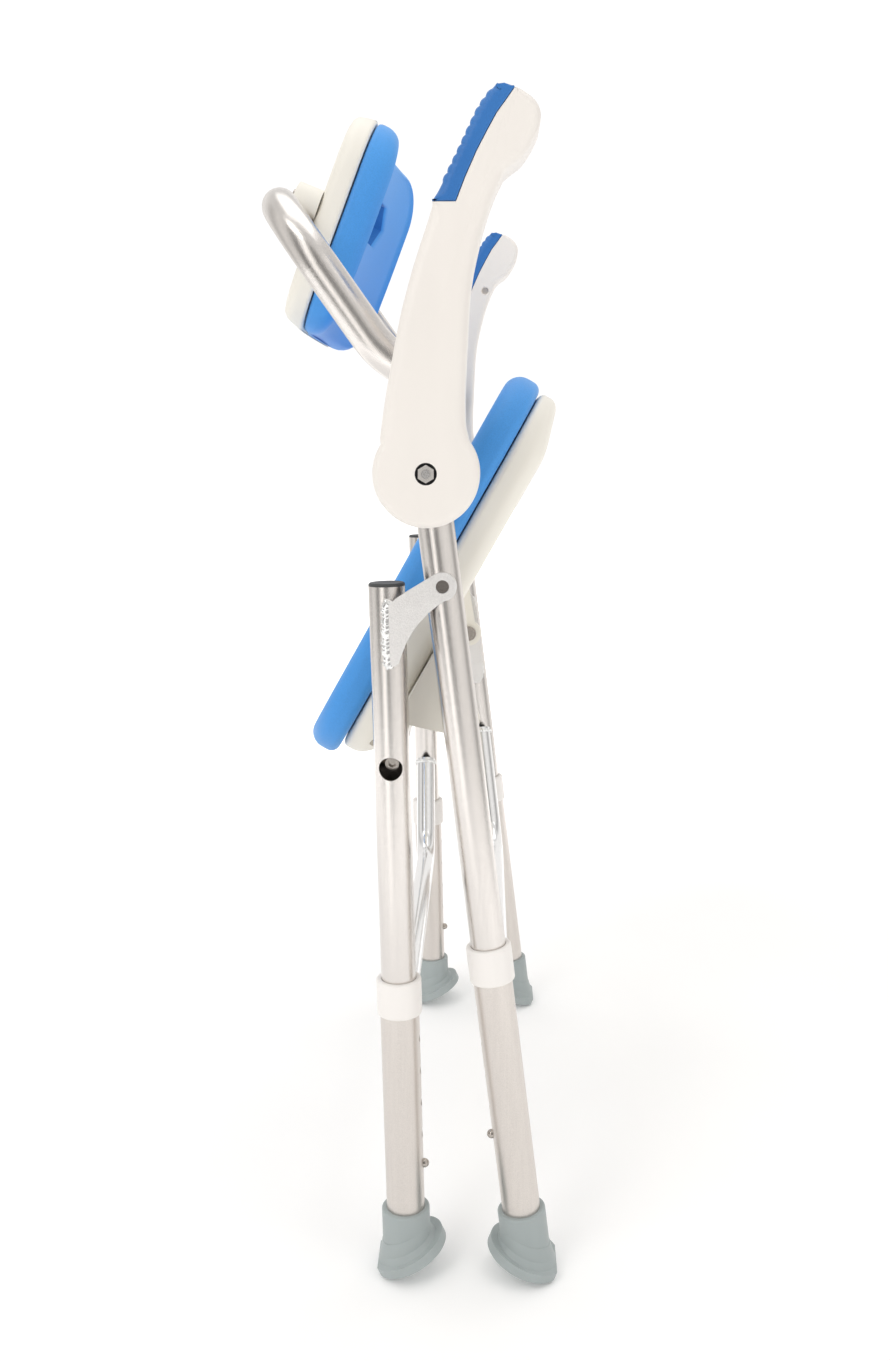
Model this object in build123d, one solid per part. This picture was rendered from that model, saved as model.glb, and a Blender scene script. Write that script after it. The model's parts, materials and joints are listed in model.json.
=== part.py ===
from build123d import *
import os
from math import sin, cos, tan, radians, sqrt

# Folding shower chair with arms and a back, standing folded on its four feet.
# +Z up, +X the way the sitter faces, Y across the chair. Millimetres.
# Design centre P: the pivot between front and rear legs, on the chair's middle plane.
# The written parts are moved so that the origin is the middle of the base.

# ------------------------------------------------------------------ driving dimensions
ORIGIN_X = -21.465        # x of the origin, from P
FLOOR_Z = -519.0          # sharp edges of the soles, from P
ORIGIN_Z = -518.71        # z of the floor, from P: the soles' edges are broken

LEG_Y = 235.0             # leg centre line from the middle plane
TUBE_R = 12.7             # 25.4 mm leg tube
TUBE_RI = 11.0
SLEEVE_R = 14.3           # 28.6 mm lower leg tube
SLEEVE_RI = 12.95
FRONT_LEAN = 7.42         # front legs lean, foot forward (folded)
REAR_LEAN = 1.585         # rear legs lean, foot forward (folded)
REAR_X = -38.8            # rear leg centre line at the height of P
FRONT_SOLE_TILT = 21.0    # front legs swing this much to stand open
REAR_SOLE_TILT = 25.6     # rear legs swing this much to stand open

ARM_PIVOT_S = -76.0       # armrest pivot, along the front leg from P (minus is up)
SEAT_PIVOT_S = 100.4      # seat pivot, along the front leg from P
FRONT_TOP_S = -124.0      # front leg meets the back tube here
FRONT_END_S = 430.0       # lower end of the front upper tube
REAR_TOP_S = 1.2
REAR_END_S = 455.0
HOLE_PITCH = 25.4
HOLE_COUNT = 5
HOLE_R = 3.8
BUTTON_R = 3.4
FRONT_BUTTON_S = 411.0
REAR_BUTTON_S = 435.0
FRONT_COLLAR_S = 262.5
REAR_COLLAR_S = 287.0
COLLAR_H = 27.0
COLLAR_R = 16.4

FRONT_RIM_S = 473.0       # rim of the rubber foot
REAR_RIM_S = 470.0
FOOT_R = 18.0
FOOT_DISC_R = 29.0
FOOT_DISC_T = 8.0
FOOT_FLAT = 24.0          # flat side of the base, from the disc's centre
FOOT_OFFSET = 4.0         # disc's centre from the leg's centre line, toward the high side

BACK_ANGLE = 21.5         # back panel from vertical, top forward (folded)
BACK_HALF_W = 120.0
BACK_H = 164.0
BACK_PAD_T = 25.0
BACK_SHELL_T = 10.0
BACK_RIM_T = 18.0          # the shell's ends are this deep
BACK_SHELL_SAG = 6.0       # shell middle behind its ends
BACK_PAD_SAG = 20.0        # pad front, middle behind its ends
BACK_TOP = (-52.5, 332.0) # top of the joint between shell and pad, at the panel's ends

SEAT_ANGLE = 60.8         # seat from horizontal, front end up (folded)
SEAT_HALF_W = 200.0
SEAT_REAR = -85.0
SEAT_FRONT = 233.0
SEAT_MID_P = 65.2         # joint between seat shell and pad, above the seat pivot
SEAT_PAD_T = 25.0
SEAT_SHELL_T = 24.6

ROD_XZ = (-35.6, -128.0)  # cross rod between the rear legs

ARM_Y0 = 248.7            # inner face of the armrest
ARM_SPLIT = 262.0         # inner cover meets outer shell
ARM_Y1 = 286.0            # outer face

os.makedirs("parts", exist_ok=True)
parts = {}

# ------------------------------------------------------------------ helpers
D1 = (sin(radians(FRONT_LEAN)), -cos(radians(FRONT_LEAN)))    # down the front leg
N1 = (cos(radians(FRONT_LEAN)), sin(radians(FRONT_LEAN)))     # forward of it
D2 = (sin(radians(REAR_LEAN)), -cos(radians(REAR_LEAN)))
N2 = (cos(radians(REAR_LEAN)), sin(radians(REAR_LEAN)))


def front(s, off=0.0):
    return (D1[0] * s + N1[0] * off, D1[1] * s + N1[1] * off)


def rear(s, off=0.0):
    return (REAR_X + D2[0] * s + N2[0] * off, D2[1] * s + N2[1] * off)


def at(xz, y):
    return Vector(xz[0], y, xz[1])


def rod(p0, p1, r):
    p0, p1 = Vector(*p0) if not isinstance(p0, Vector) else p0, Vector(*p1) if not isinstance(p1, Vector) else p1
    d = p1 - p0
    return extrude(Plane(origin=p0, z_dir=d) * Circle(r), amount=d.length)


def pipe(p0, p1, ro, ri):
    d = p1 - p0
    u = d.normalized()
    return rod(p0, p1, ro) - rod(p0 - u, p1 + u, ri)


def across(xz, y0, y1, r):
    """Round bar along Y at (x, z)."""
    return rod(at(xz, y0), at(xz, y1), r)


def side_plate(points, y0, y1):
    """Plate with a side-view outline, between two y planes."""
    pl = Plane(origin=(0, y0, 0), x_dir=(1, 0, 0), z_dir=(0, 1, 0))
    # local (x, y) of this plane is (x, -z)
    w = Polyline(*[(x, -z) for x, z in points], close=True)
    return extrude(pl * make_face(w), amount=y1 - y0)


def both(shape):
    """The right-hand solid and its mirror image."""
    return [shape, mirror(shape, about=Plane.XZ)]


def group(shapes):
    return Compound(children=[s.solid() if hasattr(s, "solid") and len(s.solids()) == 1 else s for s in shapes])


def add(name, shape):
    parts[name] = shape


A = front(ARM_PIVOT_S)
S = front(SEAT_PIVOT_S)
P = (0.0, 0.0)
YR = -LEG_Y               # the sitter's right side

# ------------------------------------------------------------------ back tube and front legs
BACK_DIR = (-0.586, 0.810)
TOP_XZ = (-114.8, 254.0)
KNEE_T = 133.0
KNEE = (TOP_XZ[0] - BACK_DIR[0] * KNEE_T, TOP_XZ[1] - BACK_DIR[1] * KNEE_T)
END_DIR = (cos(radians(14.0)), -sin(radians(14.0)))
TUBE_TIP = (KNEE[0] + END_DIR[0] * 40.0, KNEE[1] + END_DIR[1] * 40.0)
back_path = FilletPolyline(at(TUBE_TIP, YR), at(KNEE, YR), at(TOP_XZ, YR), at(TOP_XZ, -YR), at(KNEE, -YR),
                           at(TUBE_TIP, -YR), radius=[60.0, 55.0, 55.0, 60.0])
start = Plane(origin=at(TUBE_TIP, YR), z_dir=at(KNEE, YR) - at(TUBE_TIP, YR))
back_solid = sweep(start * Circle(TUBE_R), path=back_path)
back_bore = sweep(start * Circle(TUBE_RI), path=back_path)
add("back_tube", back_solid - back_bore)

tip_plug = rod(at((TUBE_TIP[0] - END_DIR[0] * 9.0, TUBE_TIP[1] - END_DIR[1] * 9.0), YR), at(TUBE_TIP, YR), TUBE_RI - 0.1) \
    + rod(at(TUBE_TIP, YR), at((TUBE_TIP[0] + END_DIR[0] * 2.2, TUBE_TIP[1] + END_DIR[1] * 2.2), YR), TUBE_R - 0.2)
add("back_tube_plugs", group(both(tip_plug)))

leg = rod(at(front(FRONT_TOP_S), YR), at(front(FRONT_END_S), YR), TUBE_R)
leg -= rod(at(front(FRONT_TOP_S - 1), YR), at(front(FRONT_END_S + 1), YR), TUBE_RI)
leg -= back_solid
leg = max(leg.solids(), key=lambda s: s.volume)
leg -= across(A, YR - 20, YR + 20, 3.2)
leg -= across(P, YR - 20, YR + 20, 4.32)
leg -= rod(at(front(FRONT_BUTTON_S, 0), YR), at(front(FRONT_BUTTON_S, -20), YR), HOLE_R)
leg = leg.solid()
add("front_leg_tube_right", leg)
add("front_leg_tube_left", mirror(leg, about=Plane.XZ))


def crossbar(point, s0, s1):
    """Front or rear crossbar: a 19 mm tube that drops from the legs and crosses between them."""
    r, ri, y0, y1 = 9.5, 7.9, 218.0, 172.0
    pts = [at(point(s0), -y0), at(point(s1), -y1), at(point(s1), y1), at(point(s0), y0)]
    path = FilletPolyline(*pts, radius=42.0)
    pl = Plane(origin=pts[0], z_dir=pts[1] - pts[0])
    bar = sweep(pl * Circle(r), path=path) - sweep(pl * Circle(ri), path=path)
    for y in (-LEG_Y, LEG_Y):
        bar -= rod(at(point(s0 - 60), y), at(point(s1 + 60), y), TUBE_R)
    return max(bar.solids(), key=lambda s: s.volume)


add("front_crossbar", crossbar(front, 205.0, 322.0))
add("rear_crossbar", crossbar(rear, 238.0, 330.0))

# ------------------------------------------------------------------ hinge plates for the seat, inside the front legs
pts = [front(58, -6), front(64, -10.5), front(92, -11.5), front(114, -11.5), front(150, -8), front(156, -3),
       front(156, 5), front(150, 9.5), front(114, 11.5), front(92, 11.5), front(66, 10), front(58, 5)]
plate = side_plate(pts, YR + TUBE_R, YR + TUBE_R + 4.0)
plate -= across(S, YR, YR + 40, 4.1)
add("seat_hinge_plate_right", plate)
add("seat_hinge_plate_left", mirror(plate, about=Plane.XZ))
leg_skin = rod(at(front(0), YR), at(front(300), YR), TUBE_R)
beads = []
for off in (-8.2, 8.2):
    b = rod(at(front(66, off), YR + 11.4), at(front(88, off), YR + 11.4), 2.6)
    b2 = rod(at(front(118, off), YR + 11.4), at(front(146, off), YR + 11.4), 2.6)
    for one in (b, b2):
        beads.append((one - leg_skin - plate).solids()[0])
add("seat_plate_welds", group([m for b in beads for m in both(b)]))

# ------------------------------------------------------------------ leg pivots
pivot = across(P, YR - 16.0, YR + 13.6, 4.3)
pivot -= across(P, YR - 16.5, YR - 14.2, 2.6)
pivot += across(P, YR + 13.6, YR + 16.2, 7.0)
add("leg_pivot_rivets", group(both(pivot)))

# laser-cut brackets on the rear legs, outside
B0 = -LEG_Y - TUBE_R - 4.3
outline = [(-36.4, -13.5), (-31.9, -8.6), (-24.0, -3.4), (-4.6, 8.5), (8.9, -4.0), (3.0, -8.6), (-3.4, -12.8),
           (-9.6, -18.2), (-15.6, -24.6), (-20.4, -31.2), (-24.2, -38.2), (-27.2, -46.0), (-29.4, -52.6),
           (-32.2, -54.8), (-35.2, -53.0)]
bracket = side_plate(outline, B0, B0 + 4.0) + across(P, B0, B0 + 4.0, 9.7)
bracket -= across(P, B0 - 1, B0 + 5, 4.5)
bracket = bracket.solid()
add("pivot_bracket_right", bracket)
add("pivot_bracket_left", mirror(bracket, about=Plane.XZ))

rear_skin = rod(at(rear(0), YR), at(rear(300), YR), TUBE_R)
bead = rod(at((-37.2, -12.0), YR - TUBE_R - 1.4), at((-35.9, -54.0), YR - TUBE_R - 1.4), 3.0)
bead += Pos(-37.2, YR - TUBE_R - 1.4, -12.0) * Sphere(3.0)
bead += Pos(-35.9, YR - TUBE_R - 1.4, -54.0) * Sphere(3.0)
bead = bead - rear_skin - bracket
bead = max(bead.solids(), key=lambda s: s.volume)
add("bracket_welds", group(both(bead)))

# ------------------------------------------------------------------ rear legs
rleg = pipe(at(rear(REAR_TOP_S), YR), at(rear(REAR_END_S), YR), TUBE_R, TUBE_RI)
rleg -= rod(at(rear(REAR_BUTTON_S, 0), YR), at(rear(REAR_BUTTON_S, 20), YR), HOLE_R)
rleg -= across(ROD_XZ, YR - 20, YR, 8.3)          # access hole in the outer wall
rleg -= across(ROD_XZ, YR, YR + 20, 3.1)          # bolt hole in the inner wall
rleg = rleg.solid()
add("rear_leg_tube_right", rleg)
add("rear_leg_tube_left", mirror(rleg, about=Plane.XZ))

cap = rod(at(rear(REAR_TOP_S + 9), YR), at(rear(REAR_TOP_S), YR), TUBE_RI - 0.1)
head = rod(at(rear(REAR_TOP_S), YR), at(rear(REAR_TOP_S - 2.2), YR), TUBE_R - 0.1)
head = chamfer(head.edges().sort_by(Axis.Z)[-1], 0.9)
add("rear_leg_caps", group(both(cap + head)))

# cross rod with its sleeves and bolts
yr = LEG_Y - TUBE_R - 0.2
bar = across(ROD_XZ, -yr, yr, 6.0) - across(ROD_XZ, -yr - 1, -yr + 24, 3.0) - across(ROD_XZ, yr - 24, yr + 1, 3.0)
bar -= rod(at(rear(60), YR), at(rear(200), YR), TUBE_R) + rod(at(rear(60), -YR), at(rear(200), -YR), TUBE_R)
add("rear_cross_rod", bar.solid())
sleeve = across(ROD_XZ, -138.0, -96.0, 7.4) - across(ROD_XZ, -139.0, -95.0, 6.1)
add("cross_rod_sleeves", group(both(sleeve)))
bolt = across(ROD_XZ, YR + 3.6, YR + 9.6, 4.9) + across(ROD_XZ, YR + 9.6, YR + 34.0, 2.95)
sock = extrude(Plane(origin=at(ROD_XZ, YR + 3.0), z_dir=(0, 1, 0)) * RegularPolygon(2.9, 6), amount=4.0)
add("cross_rod_bolts", group(both(bolt - sock)))

# ------------------------------------------------------------------ lower leg tubes, collars, feet, snap buttons
def make_foot(point, rim_s, tilt, forward):
    sign = 1.0 if forward else -1.0
    ang = radians(tilt)
    n = Vector(sign * -sin(ang), 0, -cos(ang))       # sole's outward normal (down and inward)
    u = Vector(sign * cos(ang), 0, -sin(ang))        # along the sole toward its low, flat side
    # place the sole so that the low flat edge just touches the floor
    # base centre lies on the leg's centre line
    d = Vector(*(D1[0], 0, D1[1])) if forward else Vector(*(D2[0], 0, D2[1]))
    o = Vector(0, 0, 0) if forward else Vector(REAR_X, 0, 0)
    # the disc's flat edge is just on the floor
    k = (FLOOR_Z - o.Z - u.Z * (FOOT_FLAT - FOOT_OFFSET)) / d.Z
    c = o + d * k
    c = c + Vector(0, YR, 0)
    ctr = c - u * FOOT_OFFSET                        # the disc is centred a little toward the high side
    base_pl = Plane(origin=ctr, x_dir=u, z_dir=n * -1)
    disc = base_pl * (Circle(FOOT_DISC_R) - Pos(FOOT_FLAT + 20, 0) * Rectangle(40, 80))
    base = extrude(disc, amount=FOOT_DISC_T)
    top = at(point(rim_s), YR)
    socket = rod(top, c - d * 4.0, FOOT_R)
    # concave flare from the disc up to the socket, in two steps
    slope = abs(d.dot(n))
    long_r = FOOT_R / slope

    def on_axis(h):
        return c - d * ((FOOT_DISC_T + h) / slope)

    p0 = Plane(origin=ctr - n * (FOOT_DISC_T - 0.4) + u * 0.5, x_dir=u, z_dir=n * -1) * Ellipse(24.0, 25.5)
    p1 = Plane(origin=on_axis(3.5) + u * 1.0, x_dir=u, z_dir=n * -1) * Ellipse(long_r + 1.6, FOOT_R + 2.6)
    p2 = Plane(origin=on_axis(12.0) + u * 0.3, x_dir=u, z_dir=n * -1) * Ellipse(long_r + 0.15, FOOT_R + 0.15)
    skirt = loft([p0, p1], ruled=True) + loft([p1, p2], ruled=True)
    foot = base + socket + skirt
    # trim everything under the sole and past the flat side
    under = extrude(Plane(origin=ctr, x_dir=u, z_dir=n) * Rectangle(160, 160), amount=60)
    past = extrude(Plane(origin=ctr + u * FOOT_FLAT, x_dir=n, z_dir=u) * Rectangle(160, 160), amount=60)
    foot = foot - under - past
    tube_end = c - d * 12.0
    foot = foot - rod(top - d * 1.0, tube_end, SLEEVE_R + 0.05)
    foot = max(foot.solids(), key=lambda s: s.volume)
    rim = foot.edges().filter_by(GeomType.CIRCLE).filter_by(lambda e: abs(e.radius - FOOT_R) < 0.05)
    try:
        near = [e for e in rim if (e.arc_center - top).length < 1.0]
        foot = fillet(near, 1.6)
    except Exception:
        pass
    try:
        sole_edges = [e for e in foot.edges() if abs((e.center() - ctr).dot(n)) < 0.1]
        foot = chamfer(sole_edges, 0.8)
    except Exception:
        pass
    return foot, tube_end, c, ctr, n, u


def lower_leg(point, collar_s, button_s, rim_s, tilt, forward, name):
    foot, tube_end, c, ctr, n, u = make_foot(point, rim_s, tilt, forward)
    off = -20.0 if forward else 20.0
    d = (tube_end - at(point(0), YR)).length
    tube = pipe(at(point(collar_s + 2.0), YR), tube_end, SLEEVE_R, SLEEVE_RI)
    for i in range(HOLE_COUNT):
        s = button_s - i * HOLE_PITCH
        tube -= rod(at(point(s, 0), YR), at(point(s, off), YR), HOLE_R)
    tube = tube.solid()
    col = rod(at(point(collar_s), YR), at(point(collar_s + COLLAR_H), YR), COLLAR_R)
    col = fillet(col.edges().filter_by(GeomType.CIRCLE), 1.4)
    col -= rod(at(point(collar_s + 2.0), YR), at(point(collar_s + COLLAR_H + 1), YR), SLEEVE_R + 0.04)
    col -= rod(at(point(collar_s - 1.0), YR), at(point(collar_s + COLLAR_H), YR), TUBE_R + 0.25)
    col = max(col.solids(), key=lambda s: s.volume)
    # button with its leaf clip inside the upper tube
    so = -1.0 if forward else 1.0
    btn = rod(at(point(button_s, so * 8.6), YR), at(point(button_s, so * 15.2), YR), BUTTON_R)
    btn += at_sphere(point(button_s, so * 15.2), BUTTON_R)
    leaf = clip_leaf(point, button_s, so)
    clip = btn + leaf
    clip = clip.solid() if len(clip.solids()) == 1 else max(clip.solids(), key=lambda s: s.volume)
    for side, tag in ((0, "right"), (1, "left")):
        for nm, shp in ((name + "_lower_tube_", tube), (name + "_collar_", col), (name + "_foot_", foot), (name + "_snap_button_", clip)):
            add(nm + tag, shp if side == 0 else mirror(shp, about=Plane.XZ))
    return c, ctr, n, u


def at_sphere(xz, r):
    s = Pos(xz[0], YR, xz[1]) * Sphere(r)
    return s


def clip_leaf(point, s, so):
    """Flat spring leaf, bent back on itself, that carries the button."""
    pts = [point(s - 8, so * 8.8), point(s + 6, so * 8.8), point(s + 14, so * 3.5), point(s + 12.5, so * 2.6),
           point(s + 5.2, so * 7.8), point(s - 8, so * 7.8)]
    # s + 14 stays inside the upper tube
    return side_plate(pts, YR - 3.0, YR + 3.0)


info = {}
info["front"] = lower_leg(front, FRONT_COLLAR_S, FRONT_BUTTON_S, FRONT_RIM_S, FRONT_SOLE_TILT, True, "front")
info["rear"] = lower_leg(rear, REAR_COLLAR_S, REAR_BUTTON_S, REAR_RIM_S, REAR_SOLE_TILT, False, "rear")

# ------------------------------------------------------------------ back panel
ba = radians(BACK_ANGLE)
BU = Vector(sin(ba), 0, cos(ba))                     # up the panel
BW = Vector(cos(ba), 0, -sin(ba))                    # out of its front
B_TOP = Vector(BACK_TOP[0], 0, BACK_TOP[1])
B_MID = B_TOP - BU * (BACK_H / 2)


def bow(y, w_end, sag):
    return w_end - sag * (1 - (y / BACK_HALF_W) ** 2)


def curved_slab(w_back, sag_back, w_front, sag_front, half_w, h, corner):
    """Slab between two arcs seen from above, with a rounded front outline."""
    pl = Plane(origin=B_MID - BU * (h / 2 + 5), x_dir=(0, 1, 0), z_dir=BU)
    e = BACK_HALF_W + 20.0
    b0, b1 = -bow(e, w_back, sag_back), -bow(0, w_back, sag_back)
    f0, f1 = -bow(e, w_front, sag_front), -bow(0, w_front, sag_front)
    back = ThreePointArc((-e, b0), (0, b1), (e, b0))
    frnt = ThreePointArc((e, f0), (0, f1), (-e, f0))
    face = make_face([back, Line((e, b0), (e, f0)), frnt, Line((-e, f0), (-e, b0))])
    body = extrude(pl * face, amount=h + 10)
    fp = Plane(origin=B_MID - BW * 90, x_dir=(0, 1, 0), z_dir=BW)
    mask = extrude(fp * RectangleRounded(half_w * 2, h, corner), amount=180)
    return body & mask


shell = curved_slab(-BACK_SHELL_T, BACK_SHELL_SAG, 0.0, BACK_SHELL_SAG, BACK_HALF_W, BACK_H, 38.0)
rim = curved_slab(-BACK_RIM_T, BACK_SHELL_SAG, -BACK_SHELL_T + 1.0, BACK_SHELL_SAG, BACK_HALF_W, BACK_H, 38.0)
rim -= Plane(origin=B_MID, x_dir=(0, 1, 0), z_dir=BW) * Box(2 * 92.0, BACK_H + 40, 120)
shell = shell + rim
shell -= rod((TOP_XZ[0], -200, TOP_XZ[1]), (TOP_XZ[0], 200, TOP_XZ[1]), TUBE_R + 0.6)
pad = curved_slab(0.5, BACK_SHELL_SAG, BACK_PAD_T, BACK_PAD_SAG, BACK_HALF_W - 0.5, BACK_H - 1.0, 38.0)
# hand-hold through shell and pad
hp = Plane(origin=B_MID - BW * 80 + BU * 27.0, x_dir=(0, 1, 0), z_dir=BW)
hexa = Polyline((-58, 0), (-44, 17), (44, 17), (58, 0), (44, -17), (-44, -17), close=True)
hole = extrude(hp * make_face(hexa), amount=170)
shell = shell - hole
pad = pad - hole
shell = max(shell.solids(), key=lambda s: s.volume)
pad = max(pad.solids(), key=lambda s: s.volume)
add("back_shell", shell)
add("back_pad", pad)

# saddle bosses between the back tube's cross run and the shell, with the screws that hold them
top_solid = rod((TOP_XZ[0], -176, TOP_XZ[1]), (TOP_XZ[0], 176, TOP_XZ[1]), TUBE_R)
bosses, screws = [], []
for y in (-106.0, 106.0):
    c0 = B_TOP - BU * 76.0 + Vector(0, y, 0)
    b = rod(c0 - BW * 38.0, c0 - BW * 2.0, 12.0) - top_solid
    b -= curved_slab(-BACK_RIM_T - 0.01, BACK_SHELL_SAG, 60.0, 3.0, BACK_HALF_W + 10, BACK_H + 80, 5.0)
    b = max(b.solids(), key=lambda q: q.volume)
    bosses.append(b)
    hd = rod(c0 - BW * 40.6, c0 - BW * 38.0, 5.4)
    screws.append(hd)
add("back_bosses", group(bosses))
add("back_screws", group(screws))

# ------------------------------------------------------------------ seat
sa = radians(SEAT_ANGLE)
SV = Vector(cos(sa), 0, sin(sa))
SN = Vector(-sin(sa), 0, cos(sa))
S3 = Vector(S[0], 0, S[1])
seat_pl = Plane(origin=S3, x_dir=SV, z_dir=SN)       # local x forward, y across, z out of the top


def seat_point(a, p, y=0.0):
    return S3 + SV * a + SN * p + Vector(0, y, 0)


def seat_slab(a0, a1, p0, p1, half_w, corner):
    pl = Plane(origin=seat_point(0, p0), x_dir=SV, z_dir=SN)
    return extrude(pl * (Pos((a0 + a1) / 2, 0) * RectangleRounded(a1 - a0, 2 * half_w, corner)), amount=p1 - p0)


seat_pad = seat_slab(SEAT_REAR, SEAT_FRONT, SEAT_MID_P + 0.5, SEAT_MID_P + SEAT_PAD_T, SEAT_HALF_W, 58.0)
try:
    seat_pad = fillet(seat_pad.edges().filter_by(lambda e: abs((e.center() - S3).dot(SN) - (SEAT_MID_P + SEAT_PAD_T)) < 0.2), 9.0)
except Exception:
    pass
add("seat_pad", seat_pad.solid())

P0 = SEAT_MID_P - SEAT_SHELL_T
ss = seat_slab(SEAT_REAR + 10, SEAT_FRONT - 4, P0, SEAT_MID_P - 0.3, SEAT_HALF_W - 3, 54.0)
# side profile: rounded rear end, front lip that rises from the underside
prof = [(-76, 56), (-73, 47), (-64, P0), (186, P0), (191, 45.6), (222, 53.0), (230, 60.0), (230, 70), (-76, 70)]
pl = Plane(origin=seat_point(0, 0, -260), x_dir=SV, z_dir=(0, 1, 0))
# local x along the seat, local y = z_dir x x_dir
ly = Vector(0, 1, 0).cross(SV)
sgn = 1.0 if ly.dot(SN) > 0 else -1.0
face = make_face(Polyline(*[(a, sgn * p) for a, p in prof], close=True))
ss = ss & extrude(pl * face, amount=520)
# ribbed underside: pockets between ribs
for i, (a0, a1) in enumerate(((-58, 12), (17, 96), (101, 180))):
    for y0, y1 in ((-186, -148), (-86, -3), (3, 86), (148, 186)):
        pk = extrude(Plane(origin=seat_point(0, P0 - 1, 0), x_dir=SV, z_dir=SN)
                     * (Pos((a0 + a1) / 2, (y0 + y1) / 2) * RectangleRounded(a1 - a0, y1 - y0, 6.0)), amount=18.0)
        ss -= pk
ss = max(ss.solids(), key=lambda s: s.volume)
add("seat_shell", ss)

# hinge brackets under the seat, one each side
LY0, LY1 = LEG_Y - TUBE_R - 4.0 - 9.6, LEG_Y - TUBE_R - 4.0 - 4.9     # 208.7 .. 213.4 mm?


def seat_bracket():
    y_in, y_out = -(LY0), -(LY1)
    pts = [(-13, 0), (-24, P0 - 4.0), (-24, P0 - 0.1), (58, P0 - 0.1), (58, P0 - 4.0), (13, 0)]
    pl2 = Plane(origin=seat_point(0, 0, y_out), x_dir=SV, z_dir=(0, 1, 0))
    f = make_face(Polyline(*[(a, sgn * p) for a, p in pts], close=True))
    web = extrude(pl2 * f, amount=y_in - y_out)
    web += rod(seat_point(0, 0, y_out), seat_point(0, 0, y_in), 13.0)
    fl = Plane(origin=seat_point(0, P0 - 4.0), x_dir=SV, z_dir=SN)
    flange = extrude(fl * (Pos(17, (y_in - 160) / 2) * Rectangle(82, abs(y_in) - 160)), amount=3.9)
    web += flange
    web -= rod(seat_point(0, 0, y_out - 1), seat_point(0, 0, y_in + 1), 4.25)
    return web.solid() if len(web.solids()) == 1 else max(web.solids(), key=lambda s: s.volume)


sb = seat_bracket()
add("seat_hinge_bracket_right", sb)
add("seat_hinge_bracket_left", mirror(sb, about=Plane.XZ))
# hinge bolts: shank fixed in the plate, head inboard of the bracket
hb = rod(at(S, YR + TUBE_R + 0.4), at(S, -(LY0) + 0.3), 4.05) + rod(at(S, -(LY0) + 0.3), at(S, -(LY0) + 4.0), 7.5)
add("seat_hinge_bolts", group(both(hb)))
hw = rod(at(S, YR + TUBE_R + 4.1), at(S, -(LY1) - 0.1), 12.0) - rod(at(S, YR + TUBE_R), at(S, -(LY1) + 1), 4.15)
add("seat_hinge_washers", group(both(hw)))
ps = []
for a, y in ((-10, -178), (44, -178)):
    q = rod(seat_point(a, P0 - 6.4, y), seat_point(a, P0 - 4.05, y), 4.6)
    ps.append(q)
add("seat_screws", group([m for q in ps for m in both(q)]))

# ------------------------------------------------------------------ armrests
left_edge = [(31.6, 307.0), (22.4, 295.6), (16.3, 284.0), (10.8, 272.5), (4.9, 260.8), (-1.3, 249.1), (-5.9, 237.3),
             (-10.6, 225.4), (-14.7, 213.5), (-18.6, 201.5), (-22.1, 189.4), (-25.3, 177.3), (-28.2, 165.0),
             (-30.5, 152.8), (-32.7, 140.4), (-35.0, 128.0), (-37.0, 115.5), (-38.4, 104.0), (-39.6, 95.0)]
right_edge = [(14.2, 100.0), (14.6, 115.7), (15.2, 140.6), (16.0, 162.1), (17.4, 187.7), (21.2, 210.5), (27.9, 235.5),
              (37.1, 257.0), (45.0, 262.5), (51.5, 270.5), (57.0, 280.0), (59.3, 288.0), (57.6, 294.6), (51.0, 299.6),
              (43.2, 303.9), (36.5, 307.8)]
arm_outline = left_edge + [(-38.0, 88.0), (14.5, 88.0)] + right_edge
HUB_R = 34.4
pad_poly = [(-6.4, 239.6), (8.2, 239.6), (13.6, 253.4), (20.4, 268.4), (32.5, 290.4), (43.2, 303.9), (36.5, 307.8),
            (31.6, 307.0), (22.4, 295.6), (16.3, 284.0), (10.8, 272.5), (4.9, 260.8), (-1.3, 249.1)]


def arm_plate(y0, y1):
    return (side_plate(arm_outline, y0, y1) + across(A, y0, y1, HUB_R)).solid()


grip_zone = side_plate(pad_poly, -ARM_Y1 - 1, -ARM_Y0 + 1)
outer = arm_plate(-ARM_Y1, -ARM_SPLIT) - grip_zone
outer -= across(A, -ARM_Y1 - 1, -ARM_Y1 + 6.2, 8.6)
outer -= across(A, -ARM_Y1 - 1, -ARM_SPLIT + 1, 3.3)
# hollow inside
inner_hollow = [(-28.0, 110.0), (6.0, 110.0), (7.5, 160.0), (10.0, 195.0), (17.0, 228.0), (-2.0, 228.0), (-14.0, 195.0),
                (-21.5, 160.0)]
outer -= side_plate(inner_hollow, -ARM_Y1 + 3.5, -ARM_SPLIT + 1)
outer = max(outer.solids(), key=lambda s: s.volume)
cover = arm_plate(-ARM_SPLIT + 0.1, -ARM_Y0) - grip_zone
cover -= across(A, -ARM_SPLIT - 1, -ARM_Y0 + 1, 3.3)
cover -= side_plate(inner_hollow, -ARM_SPLIT - 1, -ARM_Y0 - 3.0)
cover = max(cover.solids(), key=lambda s: s.volume)
gp = [(x, z) for x, z in pad_poly]
grip = side_plate([(-5.6, 240.1), (7.9, 240.1), (13.2, 253.7), (20.0, 268.7), (32.1, 290.8), (42.5, 303.8), (36.4, 307.3),
                   (31.9, 306.4), (22.9, 295.3), (16.8, 283.7), (11.3, 272.2), (5.4, 260.5), (-0.8, 248.8)],
                  -ARM_Y1 + 0.0, -ARM_Y0)
for nm, shp in (("armrest_shell_", outer), ("armrest_cover_", cover), ("armrest_grip_", grip)):
    add(nm + "right", shp)
    add(nm + "left", mirror(shp, about=Plane.XZ))
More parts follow.
